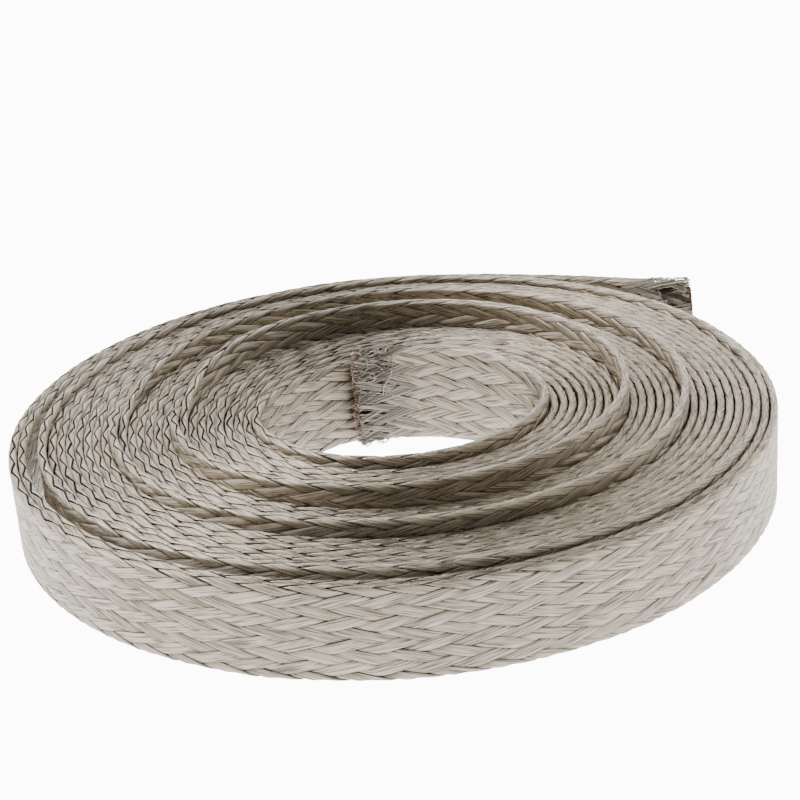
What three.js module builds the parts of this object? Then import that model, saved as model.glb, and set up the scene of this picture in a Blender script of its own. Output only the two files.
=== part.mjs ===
import * as THREE from 'three';

// A flat braided strap of tinned copper wire, rolled up and standing on its edge.
// Lengths are in millimetres and angles in degrees. The roll's axis is Z and it stands on Z = 0.
// Seen from above, the strap winds outwards clockwise from its inner end.

// The strap
const strapWidth = 20;
const strapThickness = 1.64;
const strandPitch = 8.8; // along the strap, from one strand to the parallel one beside it
const rowsPerFace = 8; // rows of crossings across one face
const strandRelief = 0.3; // how far a strand stands proud between two crossings
const grooveDepth = 0.12; // how far the seam between two strands is sunk

// The roll
const coreRadius = 31; // radius of the open core
const coreOffset = 2.1; // the innermost turn lies this far off centre, towards +X
const turnClearance = 0.33; // between one turn and the next
const wholeTurns = 27;
const innerEndAngle = 107; // where the inner end lies
const outerEndAngle = 39; // where the last turn would end, were it not straightened
const facetsPerTurn = 24;

// Turns that have worked up out of the roll, counted in turns from the inner end.
// Each climbs quickly to its rise, then sinks a little on its way round, and falls back at its end.
const raisedTurns = [
  { from: 8.83, to: 9.81, rise: 7, sink: 3.9 },
  { from: 15.83, to: 16.81, rise: 4.9, sink: 2.7 },
  { from: 24.25, to: 25.35, rise: 1.5, sink: 0 },
];
const climbTurns = 0.13;
const fallTurns = 0.11;

// Some way out from the core, the turns lie a little towards the front
const forwardShift = 1.2;
const forwardTurn = 9; // turns from the inner end, where the shift is largest

// At the back, the innermost turns are pressed in towards the core
const backPress = 6.6;
const pressTurns = 5; // it fades over this many turns
const pressReach = -0.35; // sine of the angle where it begins

// Near its inner end the braid has spread and is wider
const endSpread = 4.4;
const spreadStart = -0.3; // turns from the inner end
const spreadEnd = 1.4;

// A slack place between two of the outer turns
const slackWidth = 2.6;
const slackAngle = 175; // where it is widest
const slackSpread = 150; // it closes this far to either side
const slackTurn = 25.3; // turns from the inner end

// The free outer end
const tailAngle = 81; // where the strap leaves the roll
const tailLength = 68.5;
const tailRadius = 210;
const mouthOpening = 6.4; // the tube of the braid gapes this wide at the cut
const mouthLength = 22;
const mouthWall = 0.8;
const pocketDepth = 9;

// The frayed inner end
const frayLength = 12;
const frayBulge = 1.3; // towards the core
const frayRise = 1; // above the strap's edge

const pitch = strapThickness + turnClearance;
const turnCount = wholeTurns + (innerEndAngle - outerEndAngle) / 360;
const facetAngle = 360 / facetsPerTurn;
const fullTurn = 360;
const tailStart = turnCount * 360 - (tailAngle - outerEndAngle);

const radians = THREE.MathUtils.degToRad;
const smooth = (value, low, high) => THREE.MathUtils.smoothstep(value, low, high);

// How far the strap's lower edge stands off the floor, at a wound angle from the inner end
function rise(wound) {
  const turns = wound / 360;
  let height = 0;
  for (const { from, to, rise: peak, sink } of raisedTurns) {
    const climb = smooth(turns, from, from + climbTurns);
    const fall = smooth(turns, to - fallTurns, to);
    const progress = THREE.MathUtils.clamp((turns - from) / (to - from), 0, 1);
    height += (peak - sink * progress * progress) * (climb - fall);
  }
  return height;
}

// How far the slack place pushes the turns inside it towards the core
function slack(wound) {
  const turns = wound / 360;
  if (turns > slackTurn) return 0;
  const around = THREE.MathUtils.euclideanModulo(innerEndAngle - wound - slackAngle + 180, 360) - 180;
  const closeness = Math.max(0, 1 - Math.abs(around) / slackSpread);
  return slackWidth * smooth(closeness, 0, 1) * (turns / slackTurn);
}

// How far a place at the back is pressed in towards the core
function press(turns, polar) {
  return backPress * Math.max(0, 1 - turns / pressTurns) * smooth(Math.sin(polar), pressReach, 1);
}

// How much wider the strap is near its inner end
function spread(wound) {
  return endSpread * (1 - smooth(wound / 360, spreadStart, spreadEnd));
}

// The strap's middle in plan, with the outward direction there
function rollPoint(wound) {
  const polar = radians(innerEndAngle - wound);
  const turns = wound / 360;
  const forward = forwardShift * Math.max(0, 1 - Math.abs(turns / forwardTurn - 1));
  const shift = coreOffset * (1 - turns / turnCount) * Math.cos(polar) - forward * Math.sin(polar);
  const even = coreRadius + strapThickness / 2 + pitch * turns + shift;
  const radius = even - slack(wound) - press(turns, polar);
  const outward = new THREE.Vector2(Math.cos(polar), Math.sin(polar));
  return { middle: outward.clone().multiplyScalar(radius), outward, lift: rise(wound) };
}

// Between two corners of a faceted turn, the strap runs straight
function facetPoint(wound) {
  const offset = THREE.MathUtils.euclideanModulo(innerEndAngle, facetAngle);
  const step = Math.floor((wound - offset) / facetAngle);
  const low = Math.max(0, offset + step * facetAngle);
  const high = offset + (step + 1) * facetAngle;
  const share = (wound - low) / (high - low);
  const a = rollPoint(low);
  const b = rollPoint(high);
  return {
    middle: a.middle.lerp(b.middle, share),
    outward: a.outward.lerp(b.outward, share),
    lift: a.lift + (b.lift - a.lift) * share,
  };
}

// Past the roll, the strap runs on in a wide arc
function tailPoint(along) {
  const leave = rollPoint(tailStart);
  const ahead = new THREE.Vector2(leave.outward.y, -leave.outward.x);
  const bend = along / tailRadius;
  const forward = tailRadius * Math.sin(bend);
  const inward = tailRadius * (1 - Math.cos(bend));
  const middle = leave.middle.clone();
  middle.addScaledVector(ahead, forward);
  middle.addScaledVector(leave.outward, -inward);
  const outward = leave.outward.clone().rotateAround(new THREE.Vector2(), -bend);
  return { middle, outward, lift: 0 };
}

const points = [];
const triangles = [];

function addPoint(place, offset, height) {
  const spot = place.middle.clone().addScaledVector(place.outward, offset);
  points.push(spot.x, spot.y, height + place.lift);
  return points.length / 3 - 1;
}

// A face of the strap from its lower to its upper edge: plain, or with the relief of the weave.
// On a woven face every second half row holds the middles of strands, one to each second column.
function faceSide(place, half, side, column, woven, bottom, top) {
  if (!woven) return [addPoint(place, side * half, bottom), addPoint(place, side * half, top)];
  const ids = [];
  const steps = 2 * rowsPerFace;
  for (let step = 0; step <= steps; step += 1) {
    const row = (step - 1) / 2;
    const middleRow = step % 2 === 1;
    const strand = middleRow && (column + row) % 2 === 0;
    const seam = middleRow && !strand;
    const relief = (strand ? strandRelief : 0) - (seam ? grooveDepth : 0);
    ids.push(addPoint(place, side * (half + relief), bottom + ((top - bottom) * step) / steps));
  }
  return ids;
}

// One cross section of the strap, with its four sides
function section(place, options = {}) {
  const { column = 0, wovenOut = false, wovenIn = false } = options;
  const { outHalf = strapThickness / 2, inHalf = strapThickness / 2 } = options;
  const { bottom = 0, top = strapWidth } = options;
  const outer = faceSide(place, outHalf, 1, column, wovenOut, bottom, top);
  const inner = faceSide(place, inHalf, -1, column, wovenIn, bottom, top);
  return { outer, inner };
}

// Triangles between two rows of points. Rows of equal length are split along the strands.
function stitchRows(a, b, flip) {
  const add = (p, q, r) => triangles.push(...(flip ? [p, q, r] : [p, r, q]));
  let i = 0;
  let j = 0;
  while (i < a.length - 1 || j < b.length - 1) {
    const equal = a.length === b.length;
    const leansBack = equal && Math.floor(Math.min(i, j) / 2) % 2 === 1;
    const nextA = (i + 1) / (a.length - 1);
    const nextB = (j + 1) / (b.length - 1);
    const turnToA = equal && i === j ? leansBack : nextA < nextB;
    const takeA = j === b.length - 1 || (i < a.length - 1 && turnToA);
    if (takeA) {
      add(a[i], b[j], a[i + 1]);
      i += 1;
    } else {
      add(a[i], b[j], b[j + 1]);
      j += 1;
    }
  }
}

function stitch(a, b) {
  stitchRows(a.outer, b.outer, false);
  stitchRows(a.inner, b.inner, true);
  stitchRows([a.inner[0], a.outer[0]], [b.inner[0], b.outer[0]], false);
  stitchRows([a.inner.at(-1), a.outer.at(-1)], [b.inner.at(-1), b.outer.at(-1)], true);
}

// The frayed end swells towards the core and rises over the strap's edge
function frayed(wound) {
  const along = radians(wound) * coreRadius;
  const share = 1 - smooth(along, 0, frayLength);
  const top = strapWidth + spread(wound) + frayRise * share;
  return { inHalf: strapThickness / 2 + frayBulge * share, top };
}

function innermostTurn() {
  const first = THREE.MathUtils.euclideanModulo(innerEndAngle, facetAngle);
  const columnsPerFacet = Math.round((radians(facetAngle) * coreRadius) / (strandPitch / 2));
  const facets = Math.round(fullTurn / facetAngle);
  const angles = [0];
  for (let column = 0; column < facets * columnsPerFacet; column += 1) {
    angles.push(first + (column * facetAngle) / columnsPerFacet);
  }
  return angles.map((wound, column) => {
    return section(facetPoint(wound), { column, wovenIn: true, ...frayed(wound) });
  });
}

function middleTurns() {
  const first = THREE.MathUtils.euclideanModulo(innerEndAngle, facetAngle) + fullTurn;
  const sections = [];
  for (let wound = first; wound < tailStart - fullTurn; wound += facetAngle) {
    sections.push(section(rollPoint(wound), { top: strapWidth + spread(wound) }));
  }
  return sections;
}

function outermostTurn() {
  const radius = rollPoint(tailStart).middle.length();
  const start = tailStart - fullTurn;
  const columns = Math.round((radians(fullTurn) * radius) / (strandPitch / 2));
  const sections = [];
  for (let column = 0; column < columns; column += 1) {
    const wound = start + (fullTurn * column) / columns;
    sections.push(section(rollPoint(wound), { column, wovenOut: true }));
  }
  return sections;
}

// Half the strap's thickness along the tail: it gapes towards the cut
function tailHalf(along) {
  const gape = smooth(along, tailLength - mouthLength, tailLength);
  return (strapThickness + (mouthOpening - strapThickness) * gape) / 2;
}

function freeEnd() {
  const columns = Math.round(tailLength / (strandPitch / 2));
  const sections = [];
  for (let column = 0; column <= columns; column += 1) {
    const along = (tailLength * column) / columns;
    const half = tailHalf(along);
    sections.push(section(tailPoint(along), { column, wovenOut: true, outHalf: half, inHalf: half }));
  }
  return sections;
}

// The hollow of the braid behind its cut end, from the cut inwards
function mouthPocket() {
  return [0, pocketDepth / 2, pocketDepth].map((depth) => {
    const along = tailLength - depth;
    const half = tailHalf(along) - mouthWall;
    const bottom = mouthWall;
    const top = strapWidth - mouthWall;
    return section(tailPoint(along), { outHalf: half, inHalf: half, bottom, top });
  });
}

// The origin is under the middle of the roll, tail included
function centreInPlan(geometry) {
  geometry.computeBoundingBox();
  const middle = geometry.boundingBox.getCenter(new THREE.Vector3());
  geometry.translate(-middle.x, -middle.y, 0);
}

function braidedStrap() {
  const run = [...innermostTurn(), ...middleTurns(), ...outermostTurn(), ...freeEnd(), ...mouthPocket()];
  stitchRows(run[0].inner, run[0].outer, false);
  for (let i = 1; i < run.length; i += 1) stitch(run[i - 1], run[i]);
  const last = run.at(-1);
  stitchRows(last.outer, last.inner, false);

  const geometry = new THREE.BufferGeometry();
  geometry.setAttribute('position', new THREE.Float32BufferAttribute(points, 3));
  geometry.setIndex(triangles);
  centreInPlan(geometry);
  geometry.computeVertexNormals();
  const tinnedCopper = new THREE.MeshStandardMaterial({ color: 0xb4aea0, metalness: 0.9, roughness: 0.45 });
  const mesh = new THREE.Mesh(geometry, tinnedCopper);
  mesh.name = 'braided_strap';
  return mesh;
}

const busbarBraid = new THREE.Group();
busbarBraid.add(braidedStrap());

export default busbarBraid;
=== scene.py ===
# %% [markdown]
# # A rolled flat braid of tinned copper
# The object is one flat strap, woven like a tube and pressed flat, and then rolled up on its edge.
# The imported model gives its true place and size. This lesson first loads that model, and then
# weaves the strap strand by strand over it.

# %% Load the frame
import math

import bpy
import numpy as np
from mathutils import Matrix, Vector


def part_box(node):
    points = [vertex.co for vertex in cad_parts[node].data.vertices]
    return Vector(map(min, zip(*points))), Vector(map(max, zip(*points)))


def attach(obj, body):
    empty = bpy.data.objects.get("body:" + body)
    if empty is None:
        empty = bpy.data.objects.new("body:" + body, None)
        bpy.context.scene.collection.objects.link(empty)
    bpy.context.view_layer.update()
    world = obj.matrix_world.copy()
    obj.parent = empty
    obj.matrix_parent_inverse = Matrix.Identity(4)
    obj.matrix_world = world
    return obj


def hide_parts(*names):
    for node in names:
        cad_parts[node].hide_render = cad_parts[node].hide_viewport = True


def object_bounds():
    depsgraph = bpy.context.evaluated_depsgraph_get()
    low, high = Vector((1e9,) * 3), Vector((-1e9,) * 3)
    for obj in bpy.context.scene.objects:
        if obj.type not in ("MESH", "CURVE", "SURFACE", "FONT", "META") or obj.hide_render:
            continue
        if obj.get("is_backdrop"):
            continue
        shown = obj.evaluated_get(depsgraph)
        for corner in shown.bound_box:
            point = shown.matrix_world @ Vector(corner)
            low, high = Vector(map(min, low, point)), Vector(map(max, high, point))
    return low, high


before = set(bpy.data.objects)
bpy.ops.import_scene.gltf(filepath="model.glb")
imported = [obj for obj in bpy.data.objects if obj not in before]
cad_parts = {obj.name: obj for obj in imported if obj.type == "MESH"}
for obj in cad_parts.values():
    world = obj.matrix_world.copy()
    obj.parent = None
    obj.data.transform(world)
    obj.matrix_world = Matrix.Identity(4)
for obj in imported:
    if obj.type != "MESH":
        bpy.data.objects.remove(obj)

MM = 0.001
cad_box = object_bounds()
strap_low, strap_high = (np.array(corner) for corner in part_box("braided_strap"))
print("model box in mm:", np.round((strap_high - strap_low) / MM, 2))


# %% [markdown]
# ## Camera
# The picture was taken from about 26 degrees above the table, close to the roll, with the camera
# tilted a little to one side. A plain look-at constraint can't hold that tilt, so the camera's
# three axes are worked out here and written straight into its matrix.

# %% Camera
CAMERA_ELEVATION = math.radians(25.59)
CAMERA_DISTANCE = 427 * MM
CAMERA_ROLL = math.radians(-4.34)
CAMERA_LENS = 84.05
SENSOR_WIDTH = 36
CLIP_START = 0.01
AIM_RIGHT = 0.0048
AIM_UP = 0.0441


def make_camera():
    """A camera in front of the roll, looking down at it."""
    place = Vector((0, -math.cos(CAMERA_ELEVATION), math.sin(CAMERA_ELEVATION))) * CAMERA_DISTANCE
    level = Vector((1, 0, 0))
    forward = -place.normalized()
    forward = (forward + AIM_RIGHT * level + AIM_UP * level.cross(forward)).normalized()
    right = forward.cross(Vector((0, 0, 1))).normalized()
    up = right.cross(forward)
    tilted_right = math.cos(CAMERA_ROLL) * right + math.sin(CAMERA_ROLL) * up
    tilted_up = math.cos(CAMERA_ROLL) * up - math.sin(CAMERA_ROLL) * right
    turn = Matrix((tilted_right, tilted_up, -forward)).transposed().to_4x4()
    data = bpy.data.cameras.new("camera")
    data.lens = CAMERA_LENS
    data.sensor_width = SENSOR_WIDTH
    data.clip_start = CLIP_START
    camera = bpy.data.objects.new("camera", data)
    camera.matrix_world = Matrix.Translation(place) @ turn
    bpy.context.scene.collection.objects.link(camera)
    bpy.context.scene.camera = camera
    return camera


camera = make_camera()
print("camera stands at", [round(value, 3) for value in camera.location])


# %% [markdown]
# ## Nodes
# Materials and Geometry Nodes are both trees of nodes. One small function adds a node, sets its
# options and joins its inputs, so each tree below reads as a list of steps.

# %% One function for every node
def add(tree, kind, options=None, **inputs):
    """Adds a node. An input's name has _ for a space, or is in0, in1 for its number."""
    new = tree.nodes.new(kind)
    for key, value in (options or {}).items():
        setattr(new, key, value)
    for key, value in inputs.items():
        number = key[2:]
        if key.startswith("in") and number.isdigit():
            socket = new.inputs[int(number)]
        else:
            socket = next(s for s in new.inputs if s.name == key.replace("_", " ") and s.enabled)
        if isinstance(value, bpy.types.NodeSocket):
            tree.links.new(value, socket)
        elif value is not None:
            socket.default_value = value
    return new


def math_step(tree, operation, first, second=0.0, third=0.0):
    """One step of arithmetic on numbers."""
    options = {"operation": operation}
    return add(tree, "ShaderNodeMath", options, in0=first, in1=second, in2=third).outputs[0]


def times(tree, first, second):
    """The product of two numbers."""
    return math_step(tree, "MULTIPLY", first, second)


def times_plus(tree, first, second, third):
    """The product of two numbers, plus a third."""
    return math_step(tree, "MULTIPLY_ADD", first, second, third)


def vector_step(tree, operation, first, **more):
    """One step of arithmetic on vectors."""
    options = {"operation": operation}
    return add(tree, "ShaderNodeVectorMath", options, in0=first, **more).outputs[0]


def even_range(tree, value, span, low, high, way="LINEAR"):
    """Goes from the low to the high result while the value crosses a span."""
    return add(tree, "ShaderNodeMapRange", {"interpolation_type": way}, Value=value,
               From_Min=span[0], From_Max=span[1], To_Min=low, To_Max=high).outputs[0]


def smooth_range(tree, value, span, low, high):
    """The same, easing in and out."""
    return even_range(tree, value, span, low, high, "SMOOTHSTEP")


def linear(colour):
    """A colour written as sRGB hex, as the linear values that shaders use."""
    values = [int(colour[i:i + 2], 16) / 255 for i in (1, 3, 5)]
    return [v / 12.92 if v <= 0.04045 else ((v + 0.055) / 1.055) ** 2.4 for v in values] + [1.0]


# %% [markdown]
# ## Where the strap runs
# Seen from above, the strap is a spiral that winds outwards clockwise. It can't be a plain
# spiral: the innermost turns lie off centre and are pressed in at the back, three turns have
# worked up out of the roll, and two of the outer turns stand apart on the left. The strap is wider
# near its inner end, where its weave has spread, and lies thinner on the right, so that dark gaps
# show between the turns there. One function gives the strap's middle line, and all the strands are
# later laid along it. The real roll is a little uneven, so the line wanders by a tenth of a
# millimetre or two.

# %% The strap's middle line
STRAP_WIDTH = 20 * MM
STRAP_THICKNESS = 1.86 * MM
FOLD_RADIUS = 0.6 * MM
CORE_RADIUS = 31 * MM
FIRST_MIDDLE = 0.82 * MM
CORE_OFFSET = 2.1 * MM
TURN_PITCH = 1.97 * MM
INNER_END_ANGLE = 107
OUTER_END_ANGLE = 39
TURN_COUNT = 27 + (INNER_END_ANGLE - OUTER_END_ANGLE) / 360
LOOSE_END = 0.016
# Each raised turn: where it starts and ends, its rise, and how far it sinks on its way round
RAISED_TURNS = (
    (8.75, 9.86, 7.0 * MM, 3.9 * MM),
    (15.75, 16.86, 4.9 * MM, 2.7 * MM),
    (24.25, 25.35, 1.5 * MM, 0),
)
CLIMB_TURNS = 0.17
FALL_TURNS = 0.11
FORWARD_SHIFT = 1.2 * MM
FORWARD_TURN = 9
BACK_PRESS = 6.6 * MM
PRESS_TURNS = 5
PRESS_REACH = -0.35
END_SPREAD = 4.4 * MM
SPREAD_START = -0.3
SPREAD_END = 1.4
# On the right the strap is thinner, down to this share, between these cosines from that angle
THINNEST = 0.87
THIN_ANGLE = 5
THIN_RANGE = (0.2, 0.85)
SLACK_WIDTH = 2.6 * MM
SLACK_ANGLE = 175
SLACK_SPREAD = 150
SLACK_TURN = 25.3
TAIL_ANGLE = 81
TAIL_LENGTH = 68.5 * MM
TAIL_RADIUS = 210 * MM
TAIL_STEPS = 40
MOUTH_LENGTH = 22 * MM
MOUTH_GAPE = 2.4 * MM
PATH_STEPS_PER_TURN = 180
WANDER_OUT = 0.08 * MM
WANDER_UP = 0.22 * MM
WANDER_LENGTH = 23 * MM

rng = np.random.default_rng(27)


def smooth(value, low, high):
    """Goes smoothly from 0 to 1 while the value crosses from low to high."""
    share = np.clip((value - low) / (high - low), 0, 1)
    return share * share * (3 - 2 * share)


def raised(turns):
    """How far the strap's lower edge stands off the table."""
    height = np.zeros_like(turns)
    for start, end, peak, sink in RAISED_TURNS:
        climb = smooth(turns, start, start + CLIMB_TURNS)
        fall = smooth(turns, end - FALL_TURNS, end)
        progress = np.clip((turns - start) / (end - start), 0, 1)
        height += (peak - sink * progress ** 2) * (climb - fall)
    return height


def slack(turns):
    """How far the slack place pushes the turns inside it towards the core."""
    around = (INNER_END_ANGLE - turns * 360 - SLACK_ANGLE + 180) % 360 - 180
    closeness = smooth(np.maximum(0, 1 - np.abs(around) / SLACK_SPREAD), 0, 1)
    return np.where(turns > SLACK_TURN, 0, SLACK_WIDTH * closeness * turns / SLACK_TURN)


def press(turns, polar):
    """How far the innermost turns are pressed in towards the core at the back."""
    fading = np.maximum(0, 1 - turns / PRESS_TURNS)
    return BACK_PRESS * fading * smooth(np.sin(polar), PRESS_REACH, 1)


def spiral(turns):
    """The strap's middle in plan, for turns counted from the inner end."""
    polar = np.radians(INNER_END_ANGLE - turns * 360)
    forward = FORWARD_SHIFT * np.maximum(0, 1 - np.abs(turns / FORWARD_TURN - 1))
    shift = CORE_OFFSET * (1 - turns / TURN_COUNT) * np.cos(polar) - forward * np.sin(polar)
    radius = CORE_RADIUS + FIRST_MIDDLE + TURN_PITCH * turns + shift - slack(turns)
    radius -= press(turns, polar)
    return np.stack([radius * np.cos(polar), radius * np.sin(polar)], -1)


def wander(along, size):
    """A slow, seeded wave along the strap."""
    knots = np.arange(0, along[-1] + 3 * WANDER_LENGTH, WANDER_LENGTH)
    values = rng.uniform(-1, 1, len(knots))
    place = along / WANDER_LENGTH
    low = place.astype(int)
    return size * (values[low] + (values[low + 1] - values[low]) * smooth(place - low, 0, 1))


def middle_line():
    """Points of the whole strap: the rolled part and then the free tail."""
    tail_turn = TURN_COUNT - (TAIL_ANGLE - OUTER_END_ANGLE) / 360
    turns = np.linspace(-LOOSE_END, tail_turn, int(tail_turn * PATH_STEPS_PER_TURN))
    rolled = spiral(turns)
    polar = math.radians(TAIL_ANGLE)
    outward = np.array([math.cos(polar), math.sin(polar)])
    ahead = np.array([outward[1], -outward[0]])
    bend = np.linspace(0, TAIL_LENGTH / TAIL_RADIUS, TAIL_STEPS)[1:, None]
    tail = rolled[-1] + TAIL_RADIUS * (np.sin(bend) * ahead - (1 - np.cos(bend)) * outward)
    plan = np.concatenate([rolled, tail])
    lift = np.concatenate([raised(turns), np.zeros(len(tail))])
    wide = 1 + END_SPREAD / STRAP_WIDTH * (1 - smooth(turns, SPREAD_START, SPREAD_END))
    beside = np.cos(np.radians(INNER_END_ANGLE - THIN_ANGLE - turns * 360))
    thin = 1 - (1 - THINNEST) * smooth(beside, *THIN_RANGE)
    shape = np.stack([wide, thin, beside], -1)
    return plan, lift, np.concatenate([shape, np.tile(shape[-1:], (len(tail), 1))]), turns


def along_line(plan):
    """The distance along the strap to each of its points."""
    steps = np.linalg.norm(np.diff(plan, axis=0), axis=1)
    return np.concatenate([[0], np.cumsum(steps)])


def outward_of(plan):
    """The direction away from the roll at each point."""
    ahead = np.gradient(plan, axis=0)
    ahead /= np.linalg.norm(ahead, axis=1)[:, None]
    return np.stack([-ahead[:, 1], ahead[:, 0]], -1)


line_plan, line_lift, line_shape, line_turns = middle_line()
line_along = along_line(line_plan)
line_out = outward_of(line_plan)
line_plan = line_plan + line_out * wander(line_along, WANDER_OUT)[:, None]
line_lift = line_lift + np.abs(wander(line_along, WANDER_UP))
low_corner = (line_plan - STRAP_THICKNESS / 2).min(axis=0)
high_corner = (line_plan + STRAP_THICKNESS / 2).max(axis=0)
line_plan = line_plan - (low_corner + high_corner) / 2 + (strap_low + strap_high)[:2] / 2
strap_length = line_along[-1]
line_gape = MOUTH_GAPE * smooth(line_along, strap_length - MOUTH_LENGTH, strap_length)
print("strap length in m:", round(strap_length, 3), "points:", len(line_plan))


# %% [markdown]
# ## Tinned copper
# Each wire is copper with a thin coat of tin, drawn and then woven. Tin gives a soft, warm grey
# gloss, far from chrome. The wires lie side by side in a strand, so the strand shows fine streaks
# along its length, and its light runs across them. The bump has one ridge for each 0.2 mm wire.
# Streaks of colour as fine as that would not show, so they are drawn a little coarser, with a
# slower streak on top that shows from a distance. Strands that lean one way look a little warmer
# than those that lean the other way. Where a strand's rim sinks below its neighbour, painted shade
# darkens the colour towards near black.

# %% Material of the strands
WIRE_DIAMETER = 0.2
TIN_LIGHT = "#D8CCBC"
TIN_WARM = "#D1C5B0"
TIN_SHADE = "#5A5146"
WIRE_LIGHT = "#DAD3C9"
WIRE_SHADE = "#8F867A"
PAINTED_SHADE_LIGHT = "#655B50"
PAINTED_SHADE_DARK = "#14110F"
COPPER_CUT = "#D8B6A4"
FINE_STREAK = (0.15, 0.8 / WIRE_DIAMETER)
BROAD_STREAK = (0.12, 1.9)
FINE_WEIGHT = 2.2
FINE_OFFSET = -0.9
BROAD_WEIGHT = 0.7
TONE_WEIGHT = 0.2
STREAK_RANGE = (0.25, 0.85)
DARKEST_STREAK = 0.8
GRAIN_BUMP = 0.6
BUMP_STRENGTH = 0.7
BUMP_HEIGHT = 0.06 * MM
GLOSS_RANGE = (0.3, 0.7)
ROUGHNESS = (0.26, 0.4)
SHADE_GRAIN = 900.0
SHADE_ROUGHNESS = 0.6
LOOSE_ROUGHNESS = 0.36


def new_material(name):
    """An empty material and its tree."""
    material = bpy.data.materials.new(name)
    material.use_nodes = True
    material.node_tree.nodes.clear()
    return material, material.node_tree


def mix_colour(tree, share, first, second, mode="MIX"):
    """Blends two colours, each a hex value or a socket."""
    options = {"data_type": "RGBA", "blend_type": mode}
    first = linear(first) if isinstance(first, str) else first
    second = linear(second) if isinstance(second, str) else second
    return add(tree, "ShaderNodeMix", options, in0=share, in6=first, in7=second).outputs[2]


def stretched(tree, stretch_along, stretch_across):
    """The strand's own coordinates in mm, squeezed so that a pattern draws streaks along it."""
    uv = add(tree, "ShaderNodeUVMap", {"uv_map": "UVMap"}).outputs[0]
    return add(tree, "ShaderNodeMapping", None, Vector=uv,
               Scale=(stretch_along, stretch_across, 1)).outputs[0]


def kept_value(tree, name):
    """A value that the mesh keeps under a name."""
    return add(tree, "ShaderNodeAttribute", {"attribute_name": name}).outputs["Fac"]


def metal(tree, colour, roughness, normal=None):
    """Ends a tree with bare metal."""
    shader = add(tree, "ShaderNodeBsdfPrincipled", None, Base_Color=colour, Metallic=1.0,
                 Roughness=roughness, Normal=normal)
    add(tree, "ShaderNodeOutputMaterial", None, Surface=shader.outputs[0])


def tinned_copper_braid():
    """Drawn and tinned copper wire, woven: satin, streaked along each strand, with painted shade where
    a rim sinks.
    """
    material, tree = new_material("tinned_copper_woven")
    lean = kept_value(tree, "lean")
    tone = kept_value(tree, "tone")
    sunk = kept_value(tree, "sunk")
    fine = add(tree, "ShaderNodeTexNoise", {"noise_dimensions": "2D"},
               Vector=stretched(tree, *FINE_STREAK), Scale=1.0, Detail=1.0).outputs[0]
    broad = add(tree, "ShaderNodeTexNoise", {"noise_dimensions": "2D"},
                Vector=stretched(tree, *BROAD_STREAK), Scale=1.0, Detail=2.0).outputs[0]
    base = mix_colour(tree, lean, TIN_LIGHT, TIN_WARM)
    streaks = times_plus(tree, fine, FINE_WEIGHT, FINE_OFFSET)
    streaks = times_plus(tree, broad, BROAD_WEIGHT, streaks)
    streaks = times_plus(tree, tone, TONE_WEIGHT, streaks)
    shade = even_range(tree, streaks, STREAK_RANGE, DARKEST_STREAK, 0.0)
    colour = mix_colour(tree, shade, base, TIN_SHADE)
    # Painted shade: rims that sink below the next strand are darkened towards near black.
    colour = mix_colour(tree, sunk, colour, PAINTED_SHADE_DARK)
    one_ridge_a_wire = math.pi / (10 * WIRE_DIAMETER)
    wires = add(tree, "ShaderNodeTexWave", {"wave_type": "BANDS", "bands_direction": "Y"},
                Vector=stretched(tree, 0.0, 1.0), Scale=one_ridge_a_wire).outputs["Fac"]
    height = times_plus(tree, fine, GRAIN_BUMP, wires)
    bump = add(tree, "ShaderNodeBump", None, Strength=BUMP_STRENGTH, Distance=BUMP_HEIGHT,
               Height=height)
    metal(tree, colour, even_range(tree, broad, GLOSS_RANGE, *ROUGHNESS), bump.outputs[0])
    return material


def painted_shade_under_wires():
    """The strands that lie under the ones on top: the same wire, with painted shade for its colour,
    seen only in the dark gaps.
    """
    material, tree = new_material("tinned_copper_painted_shade")
    place = add(tree, "ShaderNodeTexCoord").outputs["Object"]
    grain = add(tree, "ShaderNodeTexNoise", None, Vector=place, Scale=SHADE_GRAIN,
                Detail=2.0).outputs[0]
    # Painted shade: the under strands get a dark mottled colour in place of the tin's own.
    colour = mix_colour(tree, grain, PAINTED_SHADE_DARK, PAINTED_SHADE_LIGHT)
    metal(tree, colour, SHADE_ROUGHNESS)
    return material


def loose_wire():
    """Single tinned wires. The cut tips show bare copper."""
    material, tree = new_material("tinned_wire_with_copper_tip")
    tip = kept_value(tree, "tip")
    tone = kept_value(tree, "tone")
    colour = mix_colour(tree, tone, WIRE_SHADE, WIRE_LIGHT)
    colour = mix_colour(tree, tip, colour, COPPER_CUT)
    metal(tree, colour, LOOSE_ROUGHNESS)
    return material


braid_material = tinned_copper_braid()
painted_shade_material = painted_shade_under_wires()
wire_material = loose_wire()
print("materials:", braid_material.name, painted_shade_material.name, wire_material.name)
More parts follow.
